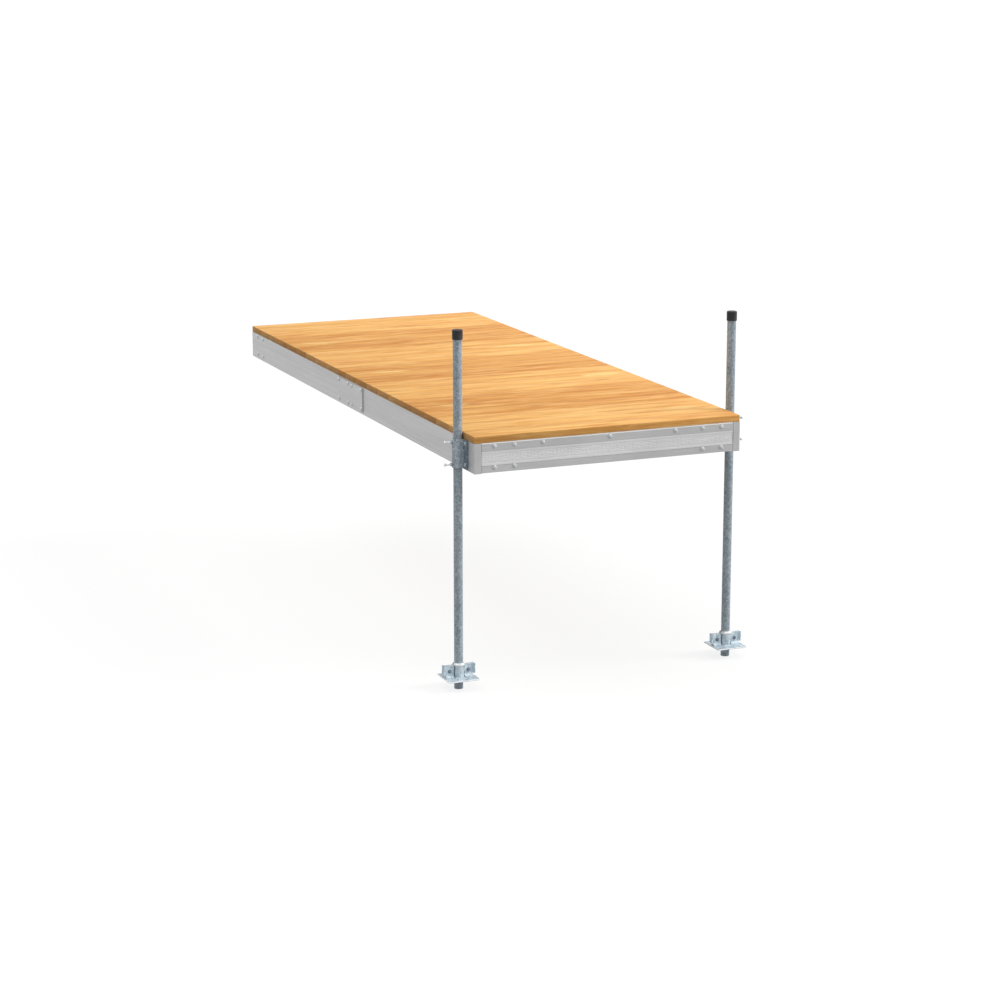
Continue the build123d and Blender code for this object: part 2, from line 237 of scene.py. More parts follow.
# Colours
streak_stops = (0.30, 0.47, 0.66)
light_streaks = (linear(222, 158, 80), linear(240, 180, 104), linear(250, 200, 124))
dark_streaks = (linear(192, 122, 52), linear(218, 153, 80), linear(234, 174, 98))
ring_brown = linear(190, 122, 54)
grain_brown = linear(192, 116, 44)
grain_yellow = linear(255, 214, 138)
pore_brown = linear(176, 112, 52)
knot_brown = linear(172, 96, 38)
patch_yellow = linear(255, 222, 146)
end_stops = (0.3, 0.7)
light_end = (linear(206, 153, 94), linear(224, 174, 113))
dark_end = (linear(184, 129, 72), linear(206, 151, 91))
end_ring_brown = linear(150, 94, 45)
saw_yellow = linear(230, 188, 132)
drawing_shade = 0.8
scratch_level = 226
speck_grey = linear(70, 78, 84)
vinyl_black = linear(30, 30, 32)
scuff_grey = linear(54, 54, 56)


def cedar():
    """Long grain: streaks along X, growth rings, fine pores, knots and pale patches, each board with its own tone."""
    wood = Surface("cedar_long_grain", 0.6, Specular_IOR_Level=0.12)
    streaks = wood.noise(wood.place(streak_scale, "shift"), detail=4.0, roughness=0.62, distortion=0.4)
    lines = wood.noise(wood.place(grain_scale, "shift"), detail=4.0, roughness=0.68, distortion=0.3)
    fine = wood.noise(wood.place(pore_scale, "shift"), detail=3.0, roughness=0.6)
    rings = wood.rings(wood.place(ring_stretch, "shift"), scale=26.0, distortion=5.0, detail_scale=0.7)
    light = wood.ramp(streaks, list(zip(streak_stops, light_streaks)))
    dark = wood.ramp(streaks, list(zip(streak_stops, dark_streaks)))
    colour = wood.mix(wood.attribute("tone"), light, dark)
    colour = wood.overlay(colour, ring_brown, rings, share=0.2, start=0.55, full=0.95)
    colour = wood.overlay(colour, grain_brown, lines, share=0.54, start=0.53, full=0.66)
    colour = wood.overlay(colour, grain_yellow, lines, share=0.5, start=0.47, full=0.34)
    colour = wood.overlay(colour, pore_brown, fine, share=0.25, start=0.55, full=0.8)
    knots = wood.cells(wood.place(knot_scale, "shift"), "Distance")
    colour = wood.overlay(colour, knot_brown, knots, share=0.55, start=0.15, full=0.02)
    wander = wood.times(wood.combine(lines, noise_middle, "SUBTRACT"), patch_wander)
    patch = wood.node("ShaderNodeVectorMath", {0: wood.place(patch_scale, "patch")}, operation="LENGTH")
    patch = wood.combine(patch.outputs["Value"], wander)
    colour = wood.overlay(colour, patch_yellow, patch, share=0.58, start=1.1, full=0.3)
    height = wood.combine(wood.times(fine, 0.6), wood.times(rings, 0.25))
    return wood.finish(colour, wood.span(fine, 0.52, 0.68), height, depth=0.0004, strength=0.35)


def cedar_end():
    """End grain: arcs of growth rings, with saw marks."""
    wood = Surface("cedar_end_grain", 0.7, Specular_IOR_Level=0.12)
    arcs = wood.rings(wood.place(end_ring_stretch, "shift"), scale=55.0, distortion=2.0, detail_scale=1.2)
    saw = wood.noise(wood.place(saw_scale, "shift"), detail=2.0)
    broad = wood.noise(wood.place(end_cloud_scale, "shift"), detail=2.0)
    light = wood.ramp(broad, list(zip(end_stops, light_end)))
    dark = wood.ramp(broad, list(zip(end_stops, dark_end)))
    colour = wood.mix(wood.attribute("tone"), light, dark)
    colour = wood.overlay(colour, end_ring_brown, arcs, share=0.4, start=0.4, full=0.9)
    colour = wood.overlay(colour, saw_yellow, saw, share=0.2, start=0.3, full=0.7)
    return wood.finish(colour, wood.span(saw, 0.62, 0.8), saw, depth=0.0003, strength=0.4)


def aluminium(name, along, low, high, roughness=0.4):
    """Extruded metal with drawing lines along one axis, clouded by handling, with a few scratches."""
    metal = Surface(name, roughness, metallic=0.85)

    def grey(level):
        return linear(level, level, level)

    drawing = [drawing_along if axis == along else drawing_across for axis in "XYZ"]
    scratching = [scratch_along if axis == along else scratch_across for axis in "XYZ"]
    lines = metal.noise(metal.place(drawing), detail=3.0, roughness=0.6)
    clouds = metal.noise(metal.place(metal_cloud_scale), detail=3.0, roughness=0.6)
    scratches = metal.noise(metal.place(scratching), detail=1.0, roughness=0.4, distortion=1.2)
    colour = metal.ramp(clouds, [(0.3, grey(low)), (0.7, grey(high))])
    colour = metal.overlay(colour, grey(low * drawing_shade), lines, share=0.16, start=0.3, full=0.7)
    colour = metal.overlay(colour, grey(scratch_level), scratches, share=0.35, start=0.66, full=0.74)
    rough = metal.combine(metal.span(lines, -0.06, 0.08), metal.span(clouds, roughness - 0.05, roughness + 0.07))
    return metal.finish(colour, rough, lines, depth=0.00012, strength=0.3)


def galvanised(name, crystal, low, high, metallic, roughness, gloss=0.5):
    """Hot-dipped zinc: crystals that catch the light differently, with cloudy patches and fine specks."""
    zinc = Surface(name, roughness, metallic, Specular_IOR_Level=gloss)
    crystals = zinc.cells(zinc.place((1 / crystal, 1 / crystal, crystal_stretch / crystal)), "Color")
    shade = zinc.node("ShaderNodeSeparateColor", {"Color": crystals}).outputs[0]
    clouds = zinc.noise(zinc.place(zinc_cloud_scale), detail=4.0, roughness=0.6)
    specks = zinc.noise(zinc.place(speck_scale), detail=2.0, roughness=0.5)
    value = zinc.combine(zinc.times(shade, 0.5), zinc.times(clouds, 0.5))
    colour = zinc.ramp(value, [(0.2, linear(*low)), (0.75, linear(*high))])
    colour = zinc.overlay(colour, speck_grey, specks, share=0.22, start=0.6, full=0.75)
    rough = zinc.combine(zinc.span(shade, -0.08, 0.08, 0.0, 1.0), zinc.span(clouds, roughness - 0.04, roughness + 0.06))
    return zinc.finish(colour, rough, zinc.combine(shade, zinc.times(specks, 0.5)), depth=0.00015, strength=0.25)


def plated(name, low, high, metallic, roughness=0.23, gloss=1.0):
    """Plated steel, a little duller where it has been handled."""
    steel = Surface(name, roughness, metallic, Specular_IOR_Level=gloss)
    clouds = steel.noise(steel.place(handling_scale), detail=3.0, roughness=0.6)
    fine = steel.noise(steel.place(skin_scale), detail=2.0, roughness=0.5)
    colour = steel.ramp(clouds, [(0.35, linear(*low)), (0.7, linear(*high))])
    rough = steel.span(clouds, roughness - 0.07, roughness + 0.07)
    return steel.finish(colour, rough, fine, depth=0.00005, strength=0.3)


def vinyl():
    """Black soft cap: fine moulded texture with dust and scuffs."""
    soft = Surface("cap_vinyl", 0.5, Specular_IOR_Level=0.3)
    skin = soft.noise(soft.place(skin_scale), detail=2.0, roughness=0.5)
    scuffs = soft.noise(soft.place(scuff_scale), detail=4.0, roughness=0.65)
    colour = soft.ramp(scuffs, [(0.35, vinyl_black), (0.75, scuff_grey)])
    return soft.finish(colour, soft.span(scuffs, 0.42, 0.6), skin, depth=0.0002, strength=0.35)


wood_faces = cedar()
wood_ends = cedar_end()
side_metal = aluminium("aluminium_along_y", "Y", 181, 192)
end_metal = aluminium("aluminium_along_x", "X", 172, 184)
upright_metal = aluminium("aluminium_along_z", "Z", 172, 184)
strip_metal = aluminium("aluminium_strip", "X", 195, 208, 0.46)
knurl_metal = aluminium("aluminium_knurl", "X", 180, 193, 0.46)
leg_zinc = galvanised("galvanised_pipe", 0.005, (138, 153, 162), (194, 207, 215), 0.04, 0.42, 0.3)
sleeve_zinc = galvanised("galvanised_sleeve", 0.005, (134, 150, 160), (206, 219, 227), 0.06, 0.4, 0.4)
# The holders' wings take a darker copy of the sleeve's zinc: painted shade.
wing_shade_zinc = galvanised("galvanised_wing_painted_shade", 0.006, (74, 88, 98), (150, 165, 175), 0.06, 0.4, 0.4)
foot_zinc = galvanised("zinc_plate", 0.009, (182, 201, 214), (230, 243, 250), 0.2, 0.3)
# Darker zinc for the bends between the ears and the sleeve: painted shade in the folds.
fold_shade_zinc = galvanised("zinc_fold_painted_shade", 0.009, (84, 100, 112), (132, 148, 160), 0.1, 0.35)
clamp_zinc = galvanised("zinc_clamp", 0.006, (174, 191, 202), (228, 240, 246), 0.1, 0.34, 0.5)
# Near-white zinc for the plate's outer edge and rim, the sleeve's bead and the walls' upward top edges: painted
# highlight.
highlight_zinc = galvanised("zinc_painted_highlight", 0.009, (226, 232, 236), (250, 252, 253), 0.3, 0.3)
bolt_steel = plated("plated_steel", (214, 218, 222), (234, 238, 241), 0.0, 0.3, 0.25)
# A darker copy of the bolt steel for the bolts on the holders' wings: painted shade.
holder_shade_steel = plated("holder_shade_steel", (150, 162, 170), (182, 192, 199), 0.05)
flank_steel = plated("flank_steel", (200, 205, 210), (222, 226, 229), 0.3)
screw_steel = plated("bright_steel", (205, 210, 215), (236, 239, 241), 0.5)
dull_steel = plated("dull_steel", (106, 122, 138), (152, 168, 184), 0.05)
black = vinyl()


# Shapes

smooth_crease = 32.0
sheet_easing_share = 0.32
sheet_corner_steps = 2
# Corners of a section: the way across, the way up, and the angle at which the corner's arc starts
section_corners = ((1, -1, -90), (1, 1, 0), (-1, 1, 90), (-1, -1, 180))


class Shape:
    """Vertices and faces of a piece, collected from simpler forms."""

    def __init__(self):
        self.points = []
        self.faces = []

    def loops(self, rings):
        """A skin over rings of points, each with the same number, closed at both ends."""
        count = len(rings[0])
        base = len(self.points)
        for ring in rings:
            self.points.extend(tuple(point) for point in ring)
        for level in range(len(rings) - 1):
            low = base + level * count
            for step in range(count):
                after = (step + 1) % count
                self.faces.append((low + step, low + after, low + count + after, low + count + step))
        self.faces.append(tuple(range(base + count - 1, base - 1, -1)))
        last = base + (len(rings) - 1) * count
        self.faces.append(tuple(range(last, last + count)))

    def lathe(self, profile, centre, axis, turns, start=0.0):
        """Pairs of radius and height turned round an axis through a centre."""
        axis = Vector(axis).normalized()
        across = axis.orthogonal().normalized()
        other = axis.cross(across)
        rings = []
        for radius, height in profile:
            ring = []
            for step in range(turns):
                angle = start + 2 * math.pi * step / turns
                arm = across * math.cos(angle) + other * math.sin(angle)
                ring.append(Vector(centre) + axis * height + arm * radius)
            rings.append(ring)
        self.loops(rings)

    def plate(self, outline, low, high, easing, rim, dish):
        """A plate with eased edges and a dished top inside a rim, over an outline that runs anticlockwise."""
        count = len(outline)

        def inset(amount):
            inner = []
            for step, here in enumerate(outline):
                before = (here - outline[step - 1]).normalized()
                after = (outline[(step + 1) % count] - here).normalized()
                normal = Vector((-before.y - after.y, before.x + after.x)).normalized()
                inner.append(here + normal * amount)
            return inner

        levels = ((inset(easing), low), (outline, low + easing), (outline, high - easing), (inset(easing), high),
                  (inset(rim), high), (inset(rim + dish), high - dish))
        self.loops([[(point.x, point.y, z) for point in ring] for ring, z in levels])

    def sheet(self, path, thickness, edges):
        """A bent plate: an eased section swept along a path in plan, between its lower and upper edges."""
        easing = thickness * sheet_easing_share
        rings = []
        for step, here in enumerate(path):
            along = (path[min(step + 1, len(path) - 1)] - path[max(step - 1, 0)]).normalized()
            across = Vector((-along.y, along.x))
            low, high = edges(here)
            ring = []
            for side, up, start in section_corners:
                for turn in range(sheet_corner_steps + 1):
                    angle = math.radians(start + 90 * turn / sheet_corner_steps)
                    reach = side * (thickness / 2 - easing) + easing * math.cos(angle)
                    rise = (high - easing if up > 0 else low + easing) + easing * math.sin(angle)
                    place = here + across * reach
                    ring.append((place.x, place.y, rise))
            rings.append(ring)
        self.loops(rings)


def arc(centre, radius, start, finish, steps):
    """Points along an arc, with angles in degrees."""
    angles = [math.radians(start + (finish - start) * step / steps) for step in range(steps + 1)]
    return [Vector((centre[0] + radius * math.cos(angle), centre[1] + radius * math.sin(angle))) for angle in angles]


def piece(name, shape, body, materials, replaces=(), crease=smooth_crease):
    """Makes an object of a shape, gives it its materials and lets it ride on a body."""
    mesh = bpy.data.meshes.new(name)
    mesh.from_pydata(shape.points, [], shape.faces)
    skin = bmesh.new()
    skin.from_mesh(mesh)
    bmesh.ops.recalc_face_normals(skin, faces=skin.faces)
    skin.to_mesh(mesh)
    skin.free()
    mesh.polygons.foreach_set("use_smooth", [True] * len(mesh.polygons))
    mesh.set_sharp_from_angle(angle=math.radians(crease))
    for material in materials:
        mesh.materials.append(material)
    made = bpy.data.objects.new(name, mesh)
    bpy.context.scene.collection.objects.link(made)
    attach(made, body)
    if replaces:
        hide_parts(*replaces)
    return made


# Deck boards, with eased edges and a tone and a grain of their own

board_radius = 0.002
board_play = 0.0006
deck_set_back = 0.004
board_count = panel_count * boards_per_panel
board_width = (deck_length - (board_count - 1) * board_gap) / board_count
board_corner_steps = 4
# How far each ring of a board's eased end lies from the end, and how much smaller it is
end_steps = ((0.0, 0.0014), (0.0005, 0.0005), (0.0016, 0.0))
end_grain_slope = 0.75
# Light and dark panels: the tone of the middle board, what the outer boards add, and where the pale patch lies
panel_looks = ((0.02, 0.12, 0.45), (0.74, 0.2, -0.43))
tone_play = 0.06
grain_shift = 9.0
ring_shift = 0.5
ring_depth = (-0.16, -0.02)
patch_play = 0.05
patch_set_back = 0.02
no_patch = (9.0, 9.0, 9.0)


def board_section(near, far, low, high, inset):
    """Rounded outline of a board across its length."""
    outline = []
    for across, up, start in section_corners:
        centre_y = (far if across > 0 else near) - across * board_radius
        centre_z = (high if up > 0 else low) - up * board_radius
        for step in range(board_corner_steps + 1):
            angle = math.radians(start + 90 * step / board_corner_steps)
            reach = board_radius - inset
            outline.append((centre_y + reach * math.cos(angle), centre_z + reach * math.sin(angle)))
    return outline


def deck_boards(number):
    """The boards of one panel as one piece."""
    node = f"deck_panel_{number + 1}"
    low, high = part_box(node)
    middle_tone, outer_tone, patch_x = panel_looks[number % 2]
    shape = Shape()
    values = {"tone": [], "shift": [], "patch": []}
    for board in range(boards_per_panel):
        middle = -deck_length + board_width / 2 + (number * boards_per_panel + board) * (board_width + board_gap)
        outer = board in (0, boards_per_panel - 1)
        end = half_width - chance.uniform(0.0, board_play)
        top = high.z - chance.uniform(0.0, board_play)
        rings = [(-end + step, inset) for step, inset in end_steps]
        rings += [(end - step, inset) for step, inset in reversed(end_steps)]
        near = max(middle - board_width / 2, deck_set_back - deck_length)
        far = min(middle + board_width / 2, -deck_set_back)
        before = len(shape.points)
        shape.loops([[(x, y, z) for y, z in board_section(near, far, low.z, top, inset)] for x, inset in rings])
        count = len(shape.points) - before
        tone = middle_tone + outer_tone * outer + chance.uniform(-tone_play, tone_play)
        shift = (chance.uniform(-grain_shift, grain_shift), middle + chance.uniform(-ring_shift, ring_shift),
                 chance.uniform(*ring_depth))
        patch = no_patch
        if not outer:
            patch = (patch_x + chance.uniform(-patch_play, patch_play), middle + patch_set_back, top)
        values["tone"] += [tone] * count
        values["shift"] += list(shift) * count
        values["patch"] += list(patch) * count
    made = piece(f"deck_boards_{number + 1}", shape, "bay", [wood_faces, wood_ends], [node])
    made.data.attributes.new("tone", "FLOAT", "POINT").data.foreach_set("value", values["tone"])
    for name in ("shift", "patch"):
        made.data.attributes.new(name, "FLOAT_VECTOR", "POINT").data.foreach_set("vector", values[name])
    for face in made.data.polygons:
        face.material_index = int(abs(face.normal.x) > end_grain_slope)


for number in range(panel_count):
    deck_boards(number)


# Ribbed strips: a bead along each edge, a groove inside it, and a field of small raised diamonds

knurl_pitch = 0.0062
knurl_height = 0.0009
knurl_root = 0.0001
knurl_corners = ((-0.5, 0), (0, -0.5), (0.5, 0), (0, 0.5))
strip_bead = 0.0096
strip_groove = 0.0032
bead_stand = 0.0026
bead_easing = 0.0005
groove_stand = 0.0008
field_stand = 0.0011
field_margin = 0.0012
strip_crease = 15.0


def end_strip(end):
    """Strip in the recess of an end rail."""
    node = f"{end}_end_strip"
    low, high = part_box(node)
    outward = ends[end][1]
    back = low.y if outward > 0 else high.y
    shape = Shape()

    def level(stand):
        return back + outward * stand

    groove = low.z + strip_bead
    profile = [(low.z, 0.0), (low.z, bead_stand - bead_easing), (low.z + bead_easing, bead_stand),
               (groove - bead_easing, bead_stand), (groove, bead_stand - bead_easing), (groove, groove_stand),
               (groove + strip_groove, groove_stand), (groove + strip_groove, field_stand)]
    profile += [(low.z + high.z - z, stand) for z, stand in reversed(profile)]
    shape.loops([[(x, level(stand), z) for z, stand in profile] for x in (low.x, high.x)])
    knurl_start = len(shape.faces)
    field_low = groove + strip_groove + field_margin
    field_high = low.z + high.z - field_low
    columns = int((high.x - low.x - 2 * field_margin) / knurl_pitch)
    rows = int((field_high - field_low) / knurl_pitch)
    pitch_z = (field_high - field_low) / rows
    start = (low.x + high.x - columns * knurl_pitch) / 2
    for column in range(columns):
        for row in range(rows):
            x = start + (column + 0.5) * knurl_pitch
            z = field_low + (row + 0.5) * pitch_z
            base = len(shape.points)
            for dx, dz in knurl_corners:
                shape.points.append((x + dx * knurl_pitch, level(field_stand - knurl_root), z + dz * pitch_z))
            shape.points.append((x, level(field_stand + knurl_height), z))
            for step in range(4):
                shape.faces.append((base + step, base + (step + 1) % 4, base + 4))
            shape.faces.append((base + 3, base + 2, base + 1, base))
    finishes = [strip_metal, knurl_metal]
    made = piece(f"{end}_ribbed_strip", shape, "bay", finishes, [node], strip_crease)
    for face in made.data.polygons[knurl_start:]:
        face.material_index = finishes.index(knurl_metal)


for end in ends:
    end_strip(end)


# Bolts: heads outside with a square neck, washers and nuts inside

head_radius = 0.0098
head_height = 0.0054
head_rim = 0.0011
head_turns = 28
dome_steps = 6
flush_height = 0.0003
bolt_radius = 0.0047
shank_turns = 14
neck_half = 0.0048
neck_length = 0.0052
washer_radius = 0.0115
washer_thickness = 0.0018
washer_turns = 24
nut_radius = 0.0094
nut_height = 0.0082
nut_easing = 0.0009
nut_seat_share = 0.92
nut_top_share = 0.9
thread_pitch = 0.0016
thread_lead = 0.002
thread_end = 0.005
thread_end_share = 0.8
thread_root_share = 0.87
sliver = 0.0001


def hexagon(shape, centre, axis, radius, height, hole):
    """A hexagon nut or head with eased corners."""
    profile = [(hole, 0.0), (radius * nut_seat_share, 0.0), (radius, nut_easing), (radius, height - nut_easing),
               (radius * nut_top_share, height), (hole, height)]
    shape.lathe(profile, centre, axis, 6)


def threads(shape, centre, axis, radius, start, finish, pitch):
    """A threaded length of bar."""
    profile = [(radius * thread_end_share, start)]
    while start < finish - pitch:
        profile += [(radius, start + pitch / 2), (radius * thread_root_share, start + pitch)]
        start += pitch
    profile.append((radius * thread_end_share, finish))
    shape.lathe(profile, centre, axis, shank_turns)


def bolt(shape, face, outward, grip, height, size):
    """One bolt: its head on a face, and a washer and nut at the end of its grip."""
    face = Vector(face)
    outward = Vector(outward)
    head = head_radius * size
    shank = bolt_radius * size
    washer = washer_radius * size
    rim = min(head_rim, height / 2)
    dome = [(sliver, 0.0), (head, 0.0), (head, rim)]
    for step in range(1, dome_steps + 1):
        angle = math.radians(90 * step / dome_steps)
        dome.append((max(head * math.cos(angle), sliver), rim + (height - rim) * math.sin(angle)))
    shape.lathe(dome, face, outward, head_turns)
    neck = neck_half * size * math.sqrt(2)
    shape.lathe([(neck, -sliver), (neck, neck_length * size)], face, -outward, 4, math.radians(45))
    shape.lathe([(shank, 0.0), (shank, grip)], face, -outward, shank_turns)
    inner = face - outward * grip
    ring = [(shank, 0.0), (washer, 0.0), (washer, washer_thickness), (shank, washer_thickness)]
    shape.lathe(ring, inner, -outward, washer_turns)
    hexagon(shape, inner - outward * washer_thickness, -outward, nut_radius * size, nut_height * size, shank)
    tip = grip + washer_thickness + nut_height * size + thread_end * size
    threads(shape, face, -outward, shank, grip - thread_lead, tip, thread_pitch)


def bolts(name, places, outward, grip, body="bay", height=head_height, size=1.0, material=bolt_steel):
    """A group of like bolts as one piece."""
    shape = Shape()
    for place in places:
        bolt(shape, place, outward, grip, height, size)
    piece(name, shape, body, [material])


corner_columns = (half_width - first_bolt, half_width - first_bolt - bolt_pitch)
stringer_columns = (-stringer_spacing, 0.0, stringer_spacing)

for side_name, side in sides.items():
    places = [(side * x, -deck_length, z) for x in corner_columns for z in bolt_rows]
    bolts(f"near_{side_name}_end_bolts", places, (0, -1, 0), end_wall + angle_thickness)
for end, (face, outward) in ends.items():
    places = [(x, face, bolt_rows[1]) for x in stringer_columns]
    height = head_height if end == "near" else flush_height
    bolts(f"{end}_stringer_bolts", places, (0, outward, 0), end_wall + stringer_plate, height=height)
places = [(x, -mid_length + beam_width / 2 + stringer_plate, rail_top - beam_bolt_drop) for x in stringer_columns]
bolts("cross_beam_bolts", places, (0, 1, 0), beam_width + 2 * stringer_plate)

for side_name, side in sides.items():
    out = (side, 0, 0)
    places = [(side * half_width, -y, z) for y in (first_bolt, first_bolt + bolt_pitch) for z in bolt_rows]
    bolts(f"far_{side_name}_side_bolts", places, out, side_wall + angle_thickness, material=flank_steel)
    face = side * (half_width + splice_thickness)
    places = [(face, -mid_length + step, z) for step in (-splice_inner, splice_inner) for z in bolt_rows]
    bolts(f"{side_name}_beam_bolts", places, out, 2 * splice_thickness + side_wall, material=flank_steel)
    places = [(face, -mid_length + step, z) for step in (-splice_outer, splice_outer) for z in bolt_rows]
    bolts(f"{side_name}_splice_bolts", places, out, splice_thickness + side_wall, material=flank_steel)
    face = side * (half_width + holder_thickness)
    places = [(face, leg_y + step, z) for step in (-bolt_pitch / 2, bolt_pitch / 2) for z in bolt_rows]
    grip = holder_thickness + side_wall + angle_thickness
    # The holder bolts take the darker steel as painted shade.
    bolts(f"{side_name}_holder_bolts", places, out, grip, material=holder_shade_steel)


# Legs: bent holders with welded nuts and set screws, and caps

bend_steps = 6
holder_bend = 0.0062
holder_sleeve_steps = 14
holder_flat = 0.001
screw_pitch = 0.0945
screw_radius = 0.00395
screw_thread = 0.0014
screw_head_radius = 0.0073
screw_head_height = 0.0055
welded_nut_radius = 0.0086
welded_nut_height = 0.008
weld_depth = 0.0015
cap_bore = 0.0193
cap_top = 0.0035
cap_mouth_rise = 0.0004
cap_mouth_flare = 0.0005
cap_fillet = 0.0042
cap_fillet_steps = 6
cap_lip = 0.0022
cap_lip_stand = 0.0004
cap_lip_easing = 0.0006
cap_dish = 0.0006
cap_dish_radius = 0.0105
cap_dish_floor = 0.0095
cap_middle = 0.0004
cap_turns = 48
cap_crease = 45.0


def leg_holder(side_name, side):
    """Plate bent round the leg, with a wing on each side and a welded nut for each set screw."""
    node = f"{side_name}_leg_holder"
    low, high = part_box(node)
    middle = (low.z + high.z) / 2
    sleeve = pipe_radius + sleeve_gap + holder_thickness / 2
    root = half_width + holder_thickness / 2
    wing = (high.y - low.y) / 2
    one_half = [Vector((root, wing - holder_corner * step / bend_steps)) for step in range(bend_steps + 1)]
    one_half += arc((root + holder_bend, sleeve + holder_bend), holder_bend, 180, 270, bend_steps)
    one_half += arc((leg_offset, 0.0), sleeve, 90, 0, holder_sleeve_steps)
    path = one_half + [Vector((point.x, -point.y)) for point in reversed(one_half[:-1])]
    path = [Vector((side * point.x, leg_y + point.y)) for point in path]

    def edges(point):
        inwards = min(holder_corner, wing - abs(point.y - leg_y))
        cut = holder_corner - math.sqrt(max(holder_corner ** 2 - (holder_corner - inwards) ** 2, 0.0))
        return low.z + cut, high.z - cut

    shape = Shape()
    shape.sheet(path, holder_thickness, edges)
    for z in (middle - screw_pitch / 2, middle + screw_pitch / 2):
        seat = (side * (leg_offset + sleeve + holder_thickness / 2 - weld_depth), leg_y, z)
        hexagon(shape, seat, (side, 0, 0), welded_nut_radius, welded_nut_height + weld_depth, screw_radius)
    finishes = [sleeve_zinc, wing_shade_zinc]
    made = piece(f"{side_name}_bent_holder", shape, "bay", finishes, [node])
    # Faces on the flat wings take the darker zinc as painted shade; the sleeve keeps the lighter zinc.
    for face in made.data.polygons:
        face.material_index = int(abs(face.center.x) < half_width + holder_thickness + holder_flat)


def set_screws(side_name, side):
    """Hexagon screws with threads, in place of the plain ones."""
    node = f"{side_name}_set_screws"
    low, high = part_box(node)
    middle = (low.z + high.z) / 2
    tip = low.x if side > 0 else high.x
    length = high.x - low.x
    shape = Shape()
    for z in (middle - screw_pitch / 2, middle + screw_pitch / 2):
        centre = Vector((tip, leg_y, z))
        threads(shape, centre, (side, 0, 0), screw_radius, 0.0, length - screw_head_height, screw_thread)
        seat = centre + Vector((side * (length - screw_head_height), 0, 0))
        hexagon(shape, seat, (side, 0, 0), screw_head_radius, screw_head_height, sliver)
    piece(f"{side_name}_clamp_screws", shape, "bay", [screw_steel], [node])


def leg_cap(side_name):
    """Soft cap with a rounded top, a rolled lip and a shallow dish."""
    node = f"{side_name}_leg_cap"
    low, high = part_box(node)
    centre = ((low.x + high.x) / 2, (low.y + high.y) / 2, low.z)
    radius = (high.x - low.x) / 2
    height = high.z - low.z
    lip = radius + cap_lip_stand
    profile = [(cap_bore, height - cap_top), (cap_bore, cap_mouth_rise), (cap_bore + cap_mouth_flare, 0.0),
               (radius, 0.0), (lip, cap_lip_easing), (lip, cap_lip), (radius, cap_lip + cap_lip_easing),
               (radius, height - cap_fillet)]
    for step in range(1, cap_fillet_steps + 1):
        angle = math.radians(90 * step / cap_fillet_steps)
        profile.append((radius - cap_fillet * (1 - math.cos(angle)), height - cap_fillet * (1 - math.sin(angle))))
    profile += [(cap_dish_radius, height), (cap_dish_floor, height - cap_dish), (cap_middle, height - cap_dish)]
    shape = Shape()
    shape.lathe(profile, centre, (0, 0, 1), cap_turns)
    piece(f"{side_name}_vinyl_cap", shape, f"{side_name}_leg", [black], [node], cap_crease)


# Feet: two pressed halves round each pipe, bolted through their ears

foot_bend = 0.004
foot_lip_angle = 45
foot_lip_steps = 5
foot_sleeve_steps = 12
foot_opening_steps = 16
foot_plate_easing = 0.0016
foot_rim = 0.0045
foot_rim_levels = 4
foot_dish = 0.0014
foot_cove = 0.018
foot_bead = 0.008
foot_bead_start = -20
foot_bead_turns = 14
foot_edge_slope = 0.6
foot_bolt_size = 0.72
foot_clamp = pipe_radius + foot_clamp_gap
foot_sleeve = foot_clamp + foot_wall / 2
foot_line = foot_parting / 2 + foot_wall / 2
foot_face = foot_parting / 2 + foot_wall
foot_bend_x = math.sqrt((foot_sleeve + foot_bend) ** 2 - (foot_line + foot_bend) ** 2)
foot_meet = math.degrees(math.atan2(foot_line + foot_bend, foot_bend_x))
foot_ear_end = foot_ear_reach - math.tan(math.radians(foot_lip_angle / 2)) * foot_bend
foot_lip_start = (foot_ear_reach + foot_ear_end) / 2
foot_lip_reach = foot_lip_length * math.cos(math.radians(foot_lip_angle))


def foot_wall_path():
    """Middle line of a half's wall in plan: lip, ear, bend and sleeve, and back on the other side."""
    one_half = [Vector((foot_ear_reach + foot_lip_reach, foot_line + foot_lip_reach))]
    one_half += arc((foot_ear_end, foot_line + foot_bend), foot_bend, -foot_lip_angle, -90, foot_lip_steps)
    one_half += arc((foot_bend_x, foot_line + foot_bend), foot_bend, -90, -180 + foot_meet, bend_steps)
    one_half += arc((0.0, 0.0), foot_sleeve, foot_meet, 90, foot_sleeve_steps)[1:]
    return one_half + [Vector((-point.x, point.y)) for point in reversed(one_half[:-1])]


def foot_outline(reach):
    """Outline of a half's base plate in plan, anticlockwise, open round the pipe."""
    side_reach = foot_plate_width / 2
    outline = [Vector((side_reach, foot_parting / 2))]
    outline += arc((side_reach - foot_corner, reach - foot_corner), foot_corner, 0, 90, bend_steps)
    outline += arc((foot_corner - side_reach, reach - foot_corner), foot_corner, 90, 180, bend_steps)
    outline.append(Vector((-side_reach, foot_parting / 2)))
    opening = math.degrees(math.asin(foot_parting / 2 / foot_clamp))
    return outline + arc((0.0, 0.0), foot_clamp, 180 - opening, opening, foot_opening_steps)


